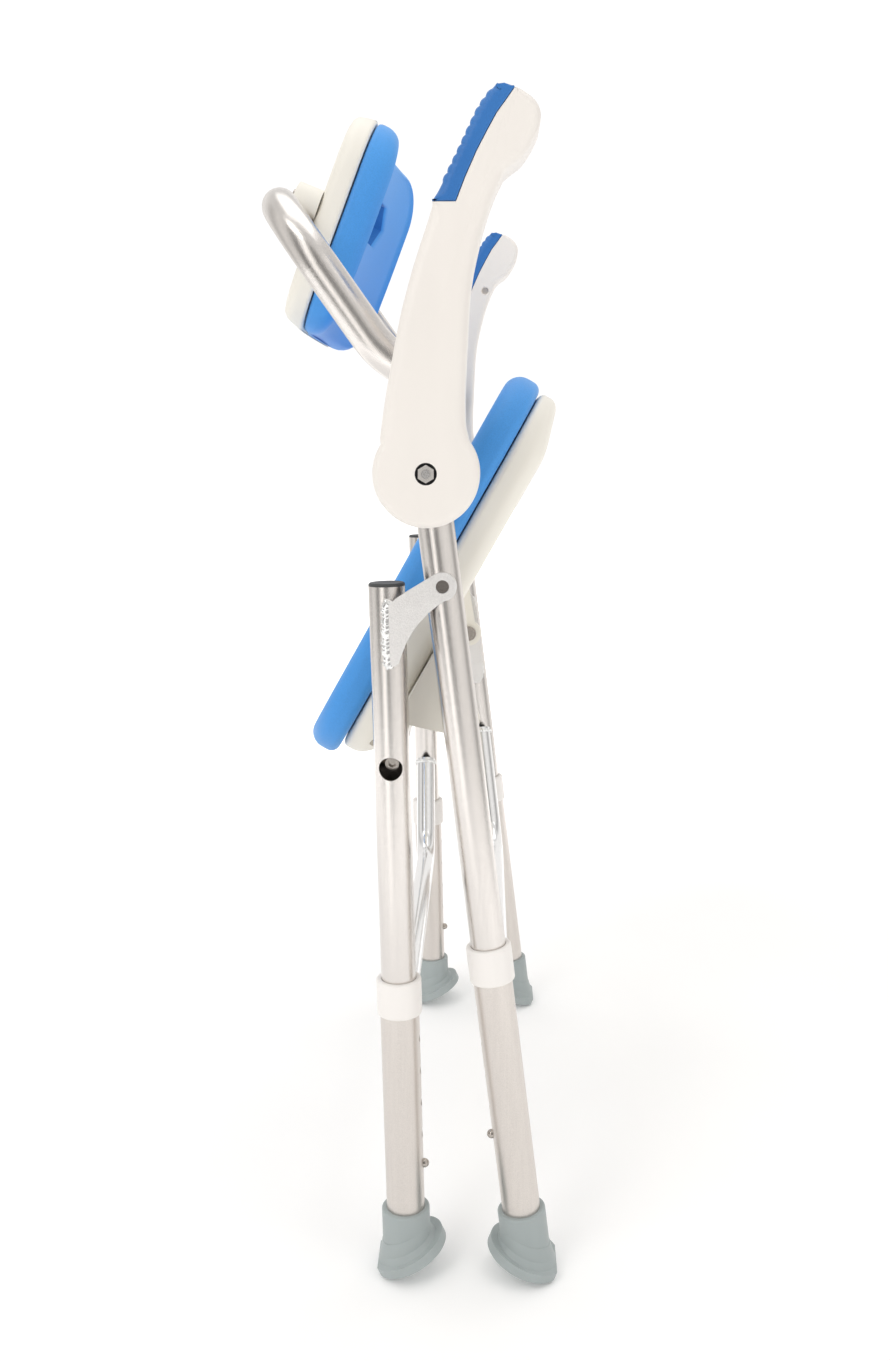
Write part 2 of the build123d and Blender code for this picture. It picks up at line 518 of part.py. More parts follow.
# pivot bolt through the front leg, with washer and nut in the hub
pb = across(A, -ARM_Y1 - 1.2, YR + TUBE_R + 0.7, 3.0) + across(A, YR + TUBE_R + 0.7, YR + TUBE_R + 4.2, 5.6)
add("armrest_pivot_bolts", group(both(pb)))
nut = extrude(Plane(origin=at(A, -ARM_Y1 - 0.2), z_dir=(0, 1, 0)) * RegularPolygon(5.8, 6), amount=5.0) \
    - across(A, -ARM_Y1 - 2, -ARM_Y1 + 8, 3.02)
wash = across(A, -ARM_Y1 + 4.85, -ARM_Y1 + 6.0, 7.4) - across(A, -ARM_Y1 + 3, -ARM_Y1 + 8, 3.2)
add("armrest_nuts", group(both(nut)))
add("armrest_washers", group(both(wash)))

# ------------------------------------------------------------------ write the parts
shift = Pos(-ORIGIN_X, 0, -ORIGIN_Z)
lo, hi = [1e9] * 3, [-1e9] * 3
for name, shape in sorted(parts.items()):
    moved = shift * shape
    bb = moved.bounding_box()
    for i, (a, b) in enumerate(((bb.min.X, bb.max.X), (bb.min.Y, bb.max.Y), (bb.min.Z, bb.max.Z))):
        lo[i], hi[i] = min(lo[i], a), max(hi[i], b)
    export_step(moved, "parts/%s.step" % name)
print("nodes", len(parts))
print("box", [round(v, 2) for v in lo], [round(v, 2) for v in hi])
for k, (c, ctr, n, u) in info.items():
    print(k, "sole centre", [round(v, 2) for v in (ctr.X - ORIGIN_X, ctr.Y, ctr.Z - ORIGIN_Z)], "normal",
          [round(v, 4) for v in (n.X, n.Y, n.Z)])
print("P", (-ORIGIN_X, -ORIGIN_Z), "A", (A[0] - ORIGIN_X, A[1] - ORIGIN_Z), "S", (S[0] - ORIGIN_X, S[1] - ORIGIN_Z))
print("D1", D1, "D2", D2, "N1", N1, "N2", N2)
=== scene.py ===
import bpy, bmesh, json, math
from math import sin, cos, radians, pi, sqrt
from mathutils import Vector, Matrix


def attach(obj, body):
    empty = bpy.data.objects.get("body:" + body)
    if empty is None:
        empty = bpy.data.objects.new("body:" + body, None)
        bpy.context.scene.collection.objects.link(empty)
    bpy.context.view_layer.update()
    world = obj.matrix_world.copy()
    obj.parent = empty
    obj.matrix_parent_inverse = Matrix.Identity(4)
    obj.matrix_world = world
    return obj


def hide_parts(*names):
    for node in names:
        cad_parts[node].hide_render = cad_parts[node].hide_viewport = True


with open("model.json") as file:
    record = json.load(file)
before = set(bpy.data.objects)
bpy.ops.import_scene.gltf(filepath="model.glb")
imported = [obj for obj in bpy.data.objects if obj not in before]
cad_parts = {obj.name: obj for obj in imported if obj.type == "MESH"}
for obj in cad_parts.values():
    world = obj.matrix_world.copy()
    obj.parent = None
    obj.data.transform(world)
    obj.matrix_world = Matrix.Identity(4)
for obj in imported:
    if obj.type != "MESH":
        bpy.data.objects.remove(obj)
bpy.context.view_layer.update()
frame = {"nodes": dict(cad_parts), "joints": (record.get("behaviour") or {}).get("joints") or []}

NODES = frame["nodes"]
JOINT = {j["name"]: j for j in frame["joints"]}
P = Vector(JOINT["rear_leg_fold"]["pos_m"])
S = Vector(JOINT["seat_fold"]["pos_m"])
A = Vector(JOINT["armrest_right_flip"]["pos_m"])
MM = 0.001
scene = bpy.context.scene


# ------------------------------------------------------------------ material helpers
def new_mat(name):
    m = bpy.data.materials.new(name)
    m.use_nodes = True
    nt = m.node_tree
    b = nt.nodes["Principled BSDF"]
    return m, nt, b


def node(nt, kind, **kw):
    n = nt.nodes.new(kind)
    for k, v in kw.items():
        if k in n.inputs:
            n.inputs[k].default_value = v
        else:
            setattr(n, k, v)
    return n


def coords(nt, scale=(1, 1, 1)):
    t = node(nt, "ShaderNodeTexCoord")
    m = node(nt, "ShaderNodeMapping")
    m.inputs["Scale"].default_value = scale
    nt.links.new(t.outputs["Object"], m.inputs["Vector"])
    return m.outputs["Vector"]


def noise(nt, vec, scale, detail=2.0, rough=0.5):
    n = node(nt, "ShaderNodeTexNoise")
    n.inputs["Scale"].default_value = scale
    n.inputs["Detail"].default_value = detail
    n.inputs["Roughness"].default_value = rough
    nt.links.new(vec, n.inputs["Vector"])
    return n.outputs["Fac"]


def ramp(nt, fac, stops):
    r = node(nt, "ShaderNodeValToRGB")
    els = r.color_ramp.elements
    while len(els) < len(stops):
        els.new(0.5)
    for e, (p, c) in zip(els, stops):
        e.position = p
        e.color = (c[0], c[1], c[2], 1)
    nt.links.new(fac, r.inputs["Fac"])
    return r.outputs["Color"]


def grey(v):
    return (v, v, v)


def scaled(c, k):
    return tuple(min(1.0, x * k) for x in c)


def bump(nt, b, fac, strength, distance, previous=None):
    n = node(nt, "ShaderNodeBump")
    n.inputs["Strength"].default_value = strength
    n.inputs["Distance"].default_value = distance
    nt.links.new(fac, n.inputs["Height"])
    if previous is not None:
        nt.links.new(previous, n.inputs["Normal"])
    nt.links.new(n.outputs["Normal"], b.inputs["Normal"])
    return n.outputs["Normal"]


def metal(name, base, rough, grain=0.05, grain_scale=2600.0, streak=(60, 60, 3), depth=0.00002, spread=0.07, pits=0.0):
    """Aluminium or steel: fine blasted grain, long soft streaks, slight colour drift."""
    m, nt, b = new_mat(name)
    b.inputs["Metallic"].default_value = 1.0
    v = coords(nt)
    fine = noise(nt, v, grain_scale, 2.0, 0.6)
    vs = coords(nt, streak)
    long = noise(nt, vs, 6.0, 3.0, 0.55)
    wide = noise(nt, v, 9.0, 2.0, 0.5)
    c1 = ramp(nt, long, [(0.3, scaled(base, 0.975)), (0.7, scaled(base, 1.02))])
    c2 = ramp(nt, fine, [(0.30, grey(0.78)), (0.62, grey(1.0))])
    mix = node(nt, "ShaderNodeMix", data_type="RGBA", blend_type="MULTIPLY")
    mix.inputs["Factor"].default_value = 0.55
    nt.links.new(c1, mix.inputs[6]); nt.links.new(c2, mix.inputs[7])
    nt.links.new(mix.outputs[2], b.inputs["Base Color"])
    r = node(nt, "ShaderNodeMapRange")
    r.inputs["From Min"].default_value = 0.25; r.inputs["From Max"].default_value = 0.75
    r.inputs["To Min"].default_value = rough - spread; r.inputs["To Max"].default_value = rough + spread
    nt.links.new(wide, r.inputs["Value"])
    nt.links.new(r.outputs["Result"], b.inputs["Roughness"])
    n1 = bump(nt, b, fine, grain, depth * 20)
    return m


def plastic(name, base, rough, grain=0.06, grain_scale=900.0, tint=None, coat=0.0, sheen=0.0, dirt=0.04):
    """Moulded plastic: spark-eroded texture, faint flow marks, colour that drifts slightly."""
    m, nt, b = new_mat(name)
    v = coords(nt)
    fine = noise(nt, v, grain_scale, 3.0, 0.6)
    wide = noise(nt, v, 5.0, 3.0, 0.5)
    flow = noise(nt, coords(nt, (8, 8, 1.5)), 7.0, 2.0, 0.5)
    tint = tint or scaled(base, 1.0 - dirt * 2)
    c1 = ramp(nt, wide, [(0.35, base), (0.75, tint)])
    c2 = ramp(nt, flow, [(0.3, grey(1.0 - dirt)), (0.7, grey(1.0))])
    mix = node(nt, "ShaderNodeMix", data_type="RGBA", blend_type="MULTIPLY")
    mix.inputs["Factor"].default_value = 1.0
    nt.links.new(c1, mix.inputs[6]); nt.links.new(c2, mix.inputs[7])
    nt.links.new(mix.outputs[2], b.inputs["Base Color"])
    r = node(nt, "ShaderNodeMapRange")
    r.inputs["From Min"].default_value = 0.25; r.inputs["From Max"].default_value = 0.75
    r.inputs["To Min"].default_value = rough - 0.05; r.inputs["To Max"].default_value = rough + 0.07
    nt.links.new(flow, r.inputs["Value"])
    nt.links.new(r.outputs["Result"], b.inputs["Roughness"])
    b.inputs["Specular IOR Level"].default_value = 0.45
    if coat:
        b.inputs["Coat Weight"].default_value = coat
        b.inputs["Coat Roughness"].default_value = 0.35
    if sheen:
        b.inputs["Sheen Weight"].default_value = sheen
        b.inputs["Sheen Roughness"].default_value = 0.5
    bump(nt, b, fine, grain, 0.0004)
    return m


def foam(name, base, deep, rough=0.50, cells=1500.0, strength=0.22):
    """Closed-cell foam skin: fine cell pattern over a soft, slightly cloudy colour."""
    m, nt, b = new_mat(name)
    v = coords(nt)
    cell = node(nt, "ShaderNodeTexVoronoi")
    cell.inputs["Scale"].default_value = cells
    nt.links.new(v, cell.inputs["Vector"])
    fine = noise(nt, v, 1100.0, 4.0, 0.7)
    wide = noise(nt, v, 8.0, 3.0, 0.5)
    c1 = ramp(nt, wide, [(0.30, deep), (0.65, base)])
    c2 = ramp(nt, fine, [(0.32, grey(0.86)), (0.60, grey(1.0))])
    mix = node(nt, "ShaderNodeMix", data_type="RGBA", blend_type="MULTIPLY")
    mix.inputs["Factor"].default_value = 0.9
    nt.links.new(c1, mix.inputs[6]); nt.links.new(c2, mix.inputs[7])
    nt.links.new(mix.outputs[2], b.inputs["Base Color"])
    r = node(nt, "ShaderNodeMapRange")
    r.inputs["From Min"].default_value = 0.2; r.inputs["From Max"].default_value = 0.8
    r.inputs["To Min"].default_value = rough - 0.08; r.inputs["To Max"].default_value = rough + 0.10
    nt.links.new(wide, r.inputs["Value"])
    nt.links.new(r.outputs["Result"], b.inputs["Roughness"])
    b.inputs["Specular IOR Level"].default_value = 0.40
    b.inputs["Sheen Weight"].default_value = 0.25
    b.inputs["Sheen Roughness"].default_value = 0.45
    b.inputs["Sheen Tint"].default_value = (0.65, 0.82, 1.0, 1.0)
    b.inputs["Subsurface Weight"].default_value = 0.0
    n1 = bump(nt, b, fine, strength, 0.0006)
    bump(nt, b, cell.outputs["Distance"], strength * 0.5, 0.0005, n1)
    return m


MAT = {
    "tube": metal("aluminium_satin", (0.75, 0.715, 0.685), 0.20, grain=0.22, grain_scale=1700, streak=(120, 120, 2), spread=0.03),
    "sleeve": metal("aluminium_satin_sleeve", (0.72, 0.675, 0.635), 0.31, grain=0.16, grain_scale=1900, streak=(90, 90, 3), spread=0.03),
    "plate": metal("aluminium_blasted", (0.80, 0.785, 0.77), 0.48, grain=0.75, grain_scale=1100, streak=(20, 20, 20)),
    "polished": metal("aluminium_polished", (0.88, 0.88, 0.88), 0.16, grain=0.05, grain_scale=2000, streak=(60, 60, 60)),
    "weld": metal("weld_bright", (0.90, 0.90, 0.89), 0.22, grain=0.12, grain_scale=1200, streak=(90, 90, 90)),
    "steel": metal("steel_zinc", (0.50, 0.46, 0.42), 0.17, grain=0.05, grain_scale=1500, streak=(200, 200, 200)),
    "white": plastic("plastic_white", (0.83, 0.79, 0.745), 0.42, grain=0.05, grain_scale=1200, dirt=0.015),
    "ivory": plastic("plastic_ivory", (0.86, 0.83, 0.755), 0.46, grain=0.06, grain_scale=1000, dirt=0.02),
    "collar": plastic("plastic_collar", (0.90, 0.87, 0.84), 0.45, grain=0.04, grain_scale=900, dirt=0.02),
    "black": plastic("plastic_black", (0.045, 0.047, 0.048), 0.50, grain=0.10, grain_scale=1400, tint=(0.07, 0.07, 0.07)),
    "rubber": plastic("rubber_grey", (0.400, 0.445, 0.445), 0.60, grain=0.14, grain_scale=1400, tint=(0.35, 0.395, 0.395), sheen=0.15, dirt=0.06),
    "foam": foam("foam_blue", (0.070, 0.335, 0.80), (0.052, 0.290, 0.74)),
    # darker blue that paints the shade on the walls of the hexagonal hand-hold
    "foam_painted_shade": foam("foam_blue_painted_shade_wall", (0.022, 0.165, 0.52), (0.016, 0.140, 0.47)),
    "steel_dark": metal("steel_oiled", (0.16, 0.15, 0.14), 0.34, grain=0.08, grain_scale=1500, streak=(200, 200, 200)),
    "nut": metal("steel_nut", (0.74, 0.71, 0.67), 0.42, grain=0.06, grain_scale=1300, streak=(160, 160, 160)),
    "bolt": metal("steel_bolt_end", (0.86, 0.84, 0.82), 0.30, grain=0.06, grain_scale=1300, streak=(160, 160, 160)),
    "grip": foam("grip_blue", (0.030, 0.175, 0.50), (0.022, 0.145, 0.44), rough=0.45, cells=900.0, strength=0.12),
}


def assign(obj, mat):
    obj.data.materials.clear()
    obj.data.materials.append(mat)


def slot_of(n):
    if n in ("seat_plate_welds", "bracket_welds"):
        return "weld"
    if "crossbar" in n:
        return "polished"
    if "hinge_bracket" in n:
        return "ivory"
    if "hinge_plate" in n or "pivot_bracket" in n:
        return "plate"
    if n in ("rear_leg_caps", "back_tube_plugs"):
        return "black"
    if n in ("leg_pivot_rivets", "seat_hinge_bolts", "armrest_pivot_bolts", "armrest_nuts", "armrest_washers",
             "cross_rod_bolts", "back_screws", "seat_screws") or "snap_button" in n:
        return "steel"
    if n in ("seat_pad", "back_pad"):
        return "foam"
    if "grip" in n:
        return "grip"
    if n in ("seat_shell", "back_shell", "back_bosses"):
        return "ivory"
    if "collar" in n or n in ("cross_rod_sleeves", "seat_hinge_washers"):
        return "collar"
    if "foot" in n:
        return "rubber"
    if n.startswith("armrest_"):
        return "white"
    if "lower_tube" in n:
        return "sleeve"
    return "tube"


for n, o in NODES.items():
    assign(o, MAT[{"armrest_washers": "steel_dark", "armrest_nuts": "nut", "armrest_pivot_bolts": "bolt"}.get(n, slot_of(n))])
    if n in ("armrest_nuts", "armrest_pivot_bolts", "leg_pivot_rivets", "seat_hinge_bolts", "cross_rod_bolts"):
        bv = o.modifiers.new("rounded_edges", "BEVEL")
        bv.width = 0.0008
        bv.segments = 4
        bv.limit_method = "ANGLE"
        bv.angle_limit = radians(50)
    if any(k in n for k in ("plate", "bracket", "shell", "foot", "collar", "washers")) and "weld" not in n:
        bv = o.modifiers.new("soft_edges", "BEVEL")
        bv.width = 0.0004 if "foot" not in n else 0.0009
        bv.segments = 2
        bv.limit_method = "ANGLE"
        bv.angle_limit = radians(40)
        bv.harden_normals = False


# ------------------------------------------------------------------ mesh helpers
def link(name, bm, mat, smooth_angle=40.0):
    me = bpy.data.meshes.new(name)
    bmesh.ops.recalc_face_normals(bm, faces=bm.faces)
    bm.to_mesh(me); bm.free()
    ob = bpy.data.objects.new(name, me)
    scene.collection.objects.link(ob)
    for p in me.polygons:
        p.use_smooth = True
    me.set_sharp_from_angle(angle=radians(smooth_angle))
    me.materials.append(mat)
    return ob


def rings_mesh(rings, cap_first=True, cap_last=True):
    """Closed mesh from rings of equal length."""
    bm = bmesh.new()
    vs = [[bm.verts.new(p) for p in r] for r in rings]
    n = len(rings[0])
    for a, b in zip(vs[:-1], vs[1:]):
        for i in range(n):
            bm.faces.new((a[i], a[(i + 1) % n], b[(i + 1) % n], b[i]))
    if cap_first:
        bm.faces.new(vs[0])
    if cap_last:
        bm.faces.new(list(reversed(vs[-1])))
    return bm


def resample(pts, step, closed=True):
    """Even points along a polyline."""
    out = []
    n = len(pts)
    segs = n if closed else n - 1
    for i in range(segs):
        a, b = Vector(pts[i]), Vector(pts[(i + 1) % n])
        k = max(1, int(round((b - a).length / step)))
        for j in range(k):
            out.append(a.lerp(b, j / k))
    if not closed:
        out.append(Vector(pts[-1]))
    return out


def smooth_open(pts, step=2.0):
    """Catmull-Rom through the points, as 2-D vectors."""
    p = [Vector(q) for q in pts]
    p = [2 * p[0] - p[1]] + p + [2 * p[-1] - p[-2]]
    out = []
    for i in range(1, len(p) - 2):
        k = max(2, int((p[i + 1] - p[i]).length / step))
        for j in range(k):
            t = j / k
            a, b, c, d = p[i - 1], p[i], p[i + 1], p[i + 2]
            out.append(0.5 * ((2 * b) + (c - a) * t + (2 * a - 5 * b + 4 * c - d) * t * t + (3 * b - a - 3 * c + d) * t ** 3))
    out.append(p[-2])
    return out


def area(pts):
    return 0.5 * sum(pts[i].x * pts[(i + 1) % len(pts)].y - pts[(i + 1) % len(pts)].x * pts[i].y for i in range(len(pts)))


def inward(pts):
    """Inward normals of a closed 2-D outline."""
    s = 1.0 if area(pts) > 0 else -1.0
    n = len(pts)
    out = []
    for i in range(n):
        t = (pts[(i + 1) % n] - pts[i - 1])
        t = t.normalized() if t.length > 1e-9 else Vector((1, 0))
        out.append(Vector((-t.y, t.x)) * s)
    return out


def thickness(outline, nrm):
    """How far the outline's other side is, along each inward normal."""
    n = len(outline)
    out = []
    for i in range(n):
        p, d = outline[i], nrm[i]
        best = 1e3
        for j in range(n):
            if min((j - i) % n, (i - j) % n) < 3:
                continue
            a, b = outline[j] - p, outline[(j + 1) % n] - p
            e = b - a
            den = d.x * e.y - d.y * e.x
            if abs(den) < 1e-9:
                continue
            t = (a.x * e.y - a.y * e.x) / den
            u = (a.x * d.y - a.y * d.x) / den
            if 0.05 < t < best and -0.01 <= u <= 1.01:
                best = t
        out.append(best)
    return out


def slab(outline, radius, y0, y1, r0, r1, to_world, seg=6, nrm=None, share=0.42):
    """Plate with rounded rims. radius: per-point factor 0..1 of the rim radii; r0 at y0, r1 at y1."""
    nrm = nrm or inward(outline)
    big = max(r0, r1) + 0.8
    far = thickness(outline, nrm)
    radius = [min(f, share * t / big) for f, t in zip(radius, far)]
    m_ = len(radius)
    for _ in range(4):
        radius = [min(radius[i], (radius[i - 1] + radius[i] + radius[(i + 1) % m_]) / 3) for i in range(m_)]
    rings = []

    def ring(inset, y_off_fn):
        return [to_world(p.x + m.x * inset * f, p.y + m.y * inset * f, y_off_fn(f)) for p, m, f in zip(outline, nrm, radius)]

    rings.append(ring(r0 + 0.8, lambda f: y0))
    for k in range(seg + 1):
        th = pi / 2 * k / seg
        rings.append(ring(r0 * (1 - sin(th)), lambda f, th=th: y0 + r0 * f * (1 - cos(th))))
    for k in range(seg + 1):
        th = pi / 2 * k / seg
        rings.append(ring(r1 * (1 - cos(th)), lambda f, th=th: y1 - r1 * f * (1 - sin(th))))
    rings.append(ring(r1 + 0.8, lambda f: y1))
    return rings_mesh(rings)


def side_world(y_sign):
    """(x, z, y) in mm from P, y mirrored for the left side, to metres."""
    def f(x, z, y):
        return Vector((P.x + x * MM, y_sign * y * MM, P.z + z * MM))
    return f


def cut(obj, cutter):
    """Takes the cutter out of the object's mesh."""
    md = obj.modifiers.new("cut", "BOOLEAN")
    md.operation = "DIFFERENCE"; md.solver = "EXACT"; md.object = cutter; md.use_self = True
    bpy.context.view_layer.update()
    dg = bpy.context.evaluated_depsgraph_get()
    me = bpy.data.meshes.new_from_object(obj.evaluated_get(dg))
    obj.modifiers.clear()
    old = obj.data
    obj.data = me
    bpy.data.meshes.remove(old)
    for p in me.polygons:
        p.use_smooth = True
    me.set_sharp_from_angle(angle=radians(35))
    bpy.data.objects.remove(cutter, do_unlink=True)


def lathe_y(profile, centre, sign, n=64):
    """Closed turned body about a line along Y. profile: (radius, y) in mm."""
    rings = []
    for r, y in profile:
        rings.append([Vector((centre.x + r * MM * cos(2 * pi * i / n), sign * y * MM, centre.z + r * MM * sin(2 * pi * i / n))) for i in range(n)])
    bm = rings_mesh(rings)
    bmesh.ops.recalc_face_normals(bm, faces=bm.faces)
    me = bpy.data.meshes.new("cutter"); bm.to_mesh(me); bm.free()
    ob = bpy.data.objects.new("cutter", me); scene.collection.objects.link(ob)
    return ob


# ------------------------------------------------------------------ armrests
AX, AZ = (A.x - P.x) / MM, (A.z - P.z) / MM
HUB_R = 34.4
EDGE_L = [(-39.3, 97.5), (-38.6, 104.0), (-37.0, 115.5), (-35.0, 128.0), (-32.7, 140.4), (-30.4, 152.8), (-28.0, 165.0), (-25.3, 177.3),
          (-22.1, 189.4), (-18.6, 201.5), (-14.7, 213.5), (-10.6, 225.4), (-6.2, 238.4)]
EDGE_R = [(37.1, 257.0), (32.2, 247.0), (27.9, 235.5), (24.2, 223.0), (21.2, 210.5), (18.9, 199.0), (17.4, 187.7), (16.5, 175.0), (16.0, 162.1),
          (15.5, 151.0), (15.2, 140.6), (14.8, 128.0), (14.8, 115.7), (15.3, 106.0), (17.2, 97.5)]
KNOB = [(45.0, 305.2), (51.0, 302.2), (56.2, 297.6), (59.0, 291.8), (58.6, 284.6), (55.6, 277.0), (51.4, 270.0), (47.0, 264.6), (42.0, 261.2)]
CUT = [(-6.4, 239.6), (8.2, 239.6), (13.6, 253.4), (20.4, 268.4), (26.6, 280.0), (32.5, 290.4), (38.0, 297.6), (43.2, 304.8)]
GRIP_L = [(36.5, 307.8), (31.6, 307.0), (22.4, 295.6), (16.3, 284.0), (10.8, 272.5), (4.9, 260.8), (-1.3, 249.1), (-6.4, 239.6)]


def hub_arc(a0, a1, step=3.0):
    """Points of the hub's rim between two angles in degrees, measured from +X towards +Z."""
    k = int(abs(a1 - a0) / step)
    return [Vector((AX + HUB_R * cos(radians(a0 + (a1 - a0) * i / k)), AZ + HUB_R * sin(radians(a0 + (a1 - a0) * i / k)))) for i in range(k + 1)]


def arm_white_outline():
    right = smooth_open(EDGE_R, 2.0)
    start = math.degrees(math.atan2(EDGE_R[-1][1] + 3 - AZ, EDGE_R[-1][0] + 4 - AX))
    a_r = 36.0
    a_l = 147.5
    hub = hub_arc(a_r, a_l - 360.0)
    left = smooth_open(EDGE_L, 2.0)
    top = resample([Vector(c) for c in CUT], 2.0, closed=False)
    knob = smooth_open([CUT[-1]] + KNOB + [EDGE_R[0]], 1.6)
    pts, fac = [], []
    for q in left:
        pts.append(q); fac.append(1.0)
    for q in top:
        pts.append(q); fac.append(0.07)
    for q in knob[1:]:
        pts.append(q); fac.append(0.75)
    for q in right[1:]:
        pts.append(q); fac.append(0.9)
    for q in hub:
        pts.append(q); fac.append(0.62)
    # ease the factor where it jumps
    f2 = list(fac)
    for _ in range(3):
        f2 = [(f2[i - 1] + f2[i] * 2 + f2[(i + 1) % len(f2)]) / 4 if 0.08 < f2[i] else f2[i] for i in range(len(f2))]
    return pts, f2


def arm_grip_outline():
    """Outline, rim factors and smooth inward normals of the grip: ribs along its left edge."""
    base = smooth_open([(-6.0, 240.2)] + list(reversed(GRIP_L[1:-1])) + [(33.0, 306.6)], 0.7)
    lens = [0.0]
    for a, b in zip(base[:-1], base[1:]):
        lens.append(lens[-1] + (b - a).length)
    total = lens[-1]
    out, fac, nrm = [], [], []
    for i, q in enumerate(base):
        t = (base[min(i + 1, len(base) - 1)] - base[max(i - 1, 0)]).normalized()
        left = Vector((-t.y, t.x))
        u = lens[i] / total
        rib = 0.0
        if 0.16 < u < 0.93:
            ph = (u - 0.16) / 0.77 * 10.0
            rib = 1.15 * abs(sin(pi * ph)) ** 0.75
        out.append(q + left * rib); nrm.append(-left); fac.append(1.0)
    for q, m_, f in ((Vector((36.6, 307.3)), Vector((0.2, -0.98)), 0.7), (Vector((40.4, 306.0)), Vector((-0.4, -0.9)), 0.4)):
        out.append(q); nrm.append(m_.normalized()); fac.append(f)
    cutline = resample([Vector(c) for c in CUT], 1.6, closed=False)
    for i in range(len(cutline) - 1, -1, -1):
        t = (cutline[min(i + 1, len(cutline) - 1)] - cutline[max(i - 1, 0)]).normalized()
        left = Vector((-t.y, t.x))
        out.append(cutline[i] + left * 0.4); nrm.append(left); fac.append(0.10)
    return out, fac, nrm


WHITE, WHITE_F = arm_white_outline()
GRIP, GRIP_F, GRIP_N = arm_grip_outline()

for side, sg in (("right", -1.0), ("left", 1.0)):
    tw = side_world(sg)
    body = "armrest_" + side
    bm = slab(WHITE, WHITE_F, 262.05, 286.0, 0.5, 7.5, lambda x, z, y, tw=tw: tw(x, z, y), seg=8)
    shell = link("arm_outer_shell_" + side, bm, MAT["white"])
    prof = [(0.01, 281.17), (6.7, 281.17), (6.7, 285.5), (7.3, 286.3), (7.3, 290.0), (0.01, 290.0)]
    cut(shell, lathe_y(prof, A, sg))
    # painted shade: the recess walls round the nut take the black plastic so the gap round the nut reads dark
    shell.data.materials.append(MAT["black"])
    for q in shell.data.polygons:
        rad = sqrt((q.center.x - A.x) ** 2 + (q.center.z - A.z) ** 2) / MM
        if rad < 7.25 and abs(q.center.y) / MM < 285.9 and abs(q.center.y) / MM > 280.0:
            q.material_index = 1
    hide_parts("armrest_shell_" + side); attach(shell, body)
    bm = slab(WHITE, WHITE_F, 248.7, 261.75, 5.0, 0.5, lambda x, z, y, tw=tw: tw(x, z, y), seg=6)
    cover = link("arm_inner_cover_" + side, bm, MAT["white"])
    # three screw wells in the inner face
    for (x, z, r) in ((-14.0, 120.0, 4.0), (-2.0, 190.0, 4.0), (26.0, 250.0, 3.5)):
        c = Vector((P.x + x * MM, 0, P.z + z * MM))
        cut(cover, lathe_y([(0.01, 240.0), (r + 0.6, 240.0), (r + 0.6, 248.9), (r, 249.5), (r, 254.5), (0.01, 254.5)], c, sg, 40))
    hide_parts("armrest_cover_" + side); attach(cover, body)
    bm = slab(GRIP, GRIP_F, 248.9, 286.3, 8.0, 8.0, lambda x, z, y, tw=tw: tw(x, z, y), seg=8, nrm=GRIP_N, share=0.5)
    grip = link("arm_grip_" + side, bm, MAT["grip"])
    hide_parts("armrest_grip_" + side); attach(grip, body)


# ------------------------------------------------------------------ seat and back, as ring-built moulded bodies
def rounded_rect(a0, a1, h, r, bow_a=0.0, bow_y=0.0, step=5.0):
    """Outline in (a, y): corners of radius r, sides bowed outward a little."""
    pts = []
    for cx, cy, ang in ((a1 - r, h - r, 0), (a0 + r, h - r, 90), (a0 + r, -h + r, 180), (a1 - r, -h + r, 270)):
        k = 14
        for i in range(k + 1):
            t = radians(ang + 90.0 * i / k)
            pts.append(Vector((cx + r * cos(t), cy + r * sin(t))))
    pts = resample(pts, step)
    mid = (a0 + a1) / 2
    half = (a1 - a0) / 2
    out = []
    for p in pts:
        u, v = (p.x - mid) / half, p.y / h
        out.append(Vector((p.x + bow_a * u * (1 - v * v), p.y + bow_y * v * (1 - u * u))))
    return out


def scaled_ring(outline, inset):
    n = inward(outline)
    return [p + m * inset for p, m in zip(outline, n)]


def body_rings(outline, levels, tail, centre):
    """levels: (inset, height) from the middle of one face round the rim to the other face; not used.
    tail: how many rings run from the last inset to the centre on each face, with a height function; not used."""
    pass


def moulded(outline, r_bot, r_top, bottom, top, crown_top, crown_bot, to_world, seg=7, inner=10, cx=0.0):
    """Solid with round rims; crown(q) adds height, q = 0 at the rim and 1 in the middle."""
    rings = []
    base_b = scaled_ring(outline, r_bot)
    base_t = scaled_ring(outline, r_top)
    c = Vector((sum(p.x for p in outline) / len(outline), 0.0))
    # underside, from the middle outwards
    for k in range(1, inner + 1):
        q = k / inner
        rings.append([to_world(*(c.lerp(p, q)), bottom + crown_bot(1 - q)) for p in base_b])
    for k in range(1, seg + 1):
        th = pi / 2 * k / seg
        rr = scaled_ring(outline, r_bot * (1 - sin(th)))
        rings.append([to_world(p.x, p.y, bottom + r_bot * (1 - cos(th))) for p in rr])
    for k in range(0, seg):
        th = pi / 2 * k / seg
        rr = scaled_ring(outline, r_top * (1 - cos(th)))
        rings.append([to_world(p.x, p.y, top - r_top * (1 - sin(th))) for p in rr])
    for k in range(inner, 0, -1):
        q = k / inner
        rings.append([to_world(*(c.lerp(p, q)), top + crown_top(1 - q)) for p in base_t])
    bm = rings_mesh(rings, False, False)
    bm.verts.ensure_lookup_table()
    n = len(outline)
    vb = bm.verts.new(to_world(c.x, c.y, bottom + crown_bot(1.0)))
    vt = bm.verts.new(to_world(c.x, c.y, top + crown_top(1.0)))
    bm.verts.ensure_lookup_table()
    last = len(rings) * n - n
    for i in range(n):
        j = (i + 1) % n
        bm.faces.new((vb, bm.verts[j], bm.verts[i]))
        bm.faces.new((vt, bm.verts[last + i], bm.verts[last + j]))
    return bm


SA = radians(60.8)
SV = Vector((cos(SA), 0, sin(SA)))
SN = Vector((-sin(SA), 0, cos(SA)))


def seat_world(a, y, p):
    return S + SV * (a * MM) + SN * (p * MM) + Vector((0, y * MM, 0))


def smooth01(t):
    t = max(0.0, min(1.0, t))
    return t * t * (3 - 2 * t)


